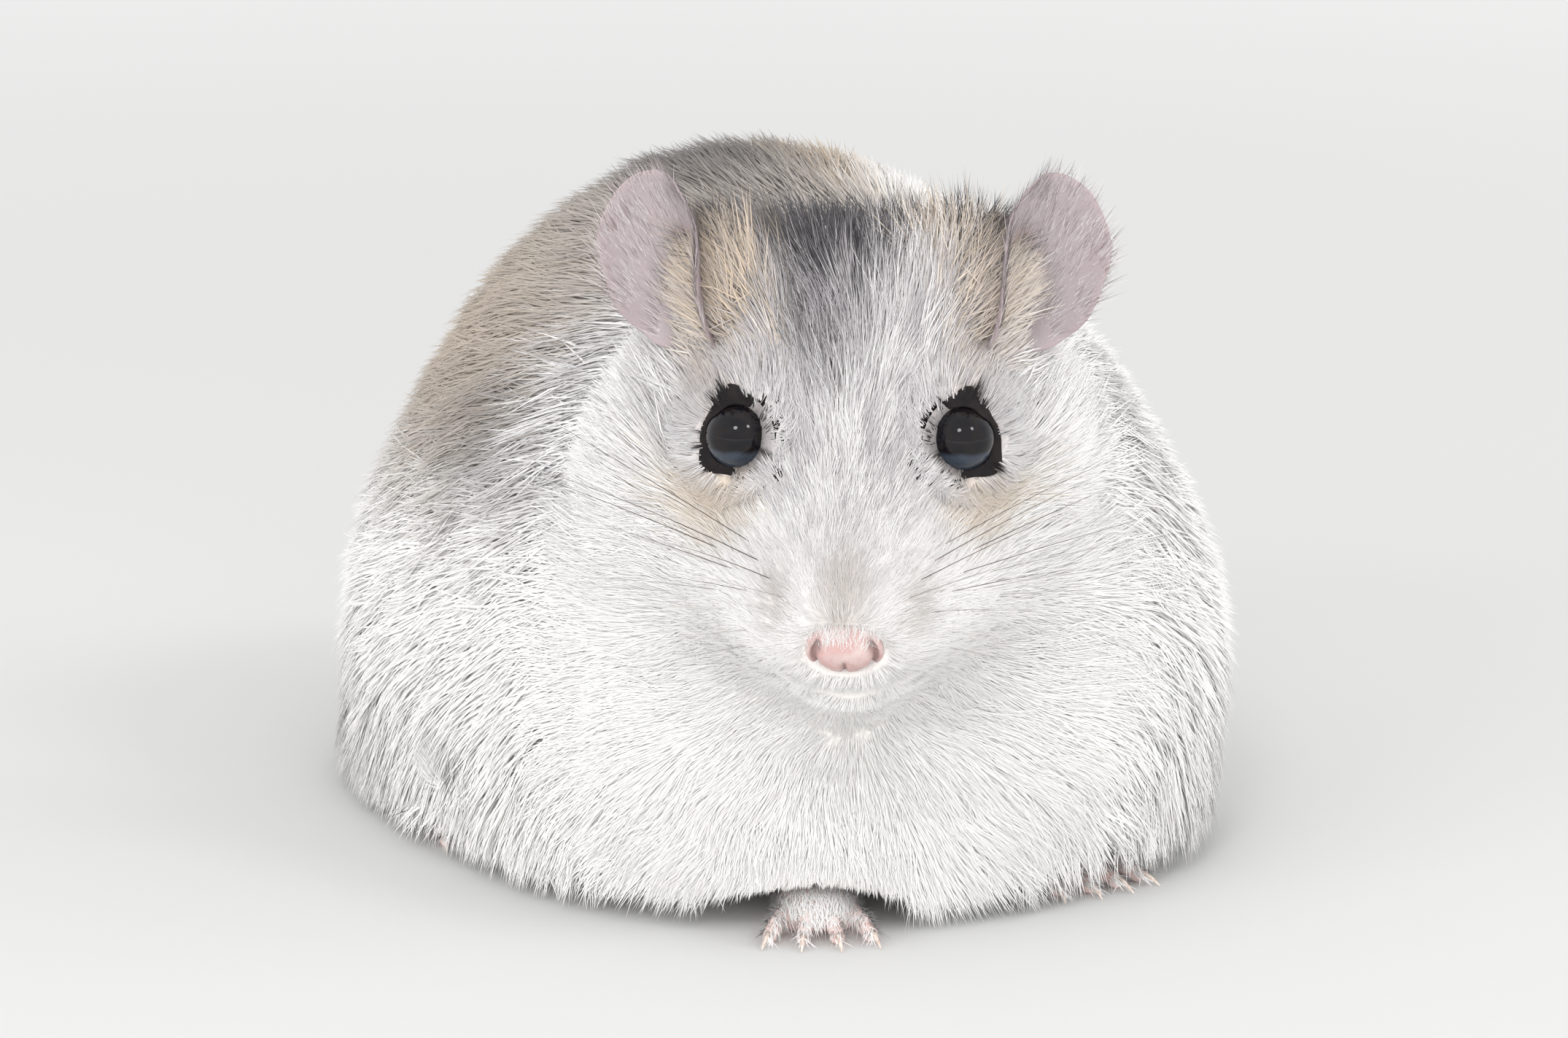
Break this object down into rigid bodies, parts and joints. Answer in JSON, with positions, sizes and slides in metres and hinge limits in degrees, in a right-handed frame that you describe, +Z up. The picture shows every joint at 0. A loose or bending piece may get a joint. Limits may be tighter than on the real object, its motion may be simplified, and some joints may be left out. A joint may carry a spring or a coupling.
{
  "type": "syrian hamster",
  "caption": "Life-size still model of a tricolour Syrian hamster crouching on the floor with its head turned, for display.",
  "frame": {"origin": "on the floor under the middle of the animal's bounding box", "axes": "+Z up; +Y from the chest to the tail; +X the animal's left side. The head turns towards -X."},
  "size_m": [0.0758, 0.1133, 0.0679],
  "materials": {
    "coat": "soft short fur, white with charcoal, grey-brown and golden-tan patches",
    "bare_skin": "pink bare skin, slightly moist on the nose",
    "ear_skin": "thin mauve-grey skin with fine short hair",
    "eye": "wet black",
    "claw": "pale translucent horn",
    "whisker": "dark brown hair"
  },
  "bodies": {
    "root": {"trunk": "coat", "neck": "coat", "head": "coat", "nose": "bare_skin", "tail": "bare_skin", "eye_right": "eye", "eye_left": "eye", "ear_right": "ear_skin", "ear_left": "ear_skin", "foreleg_right": "coat", "foreleg_left": "coat", "forepaw_right": "bare_skin", "forepaw_left": "bare_skin", "hindleg_right": "coat", "hindleg_left": "coat", "hindfoot_right": "bare_skin", "hindfoot_left": "bare_skin"}
  },
  "joints": []
}
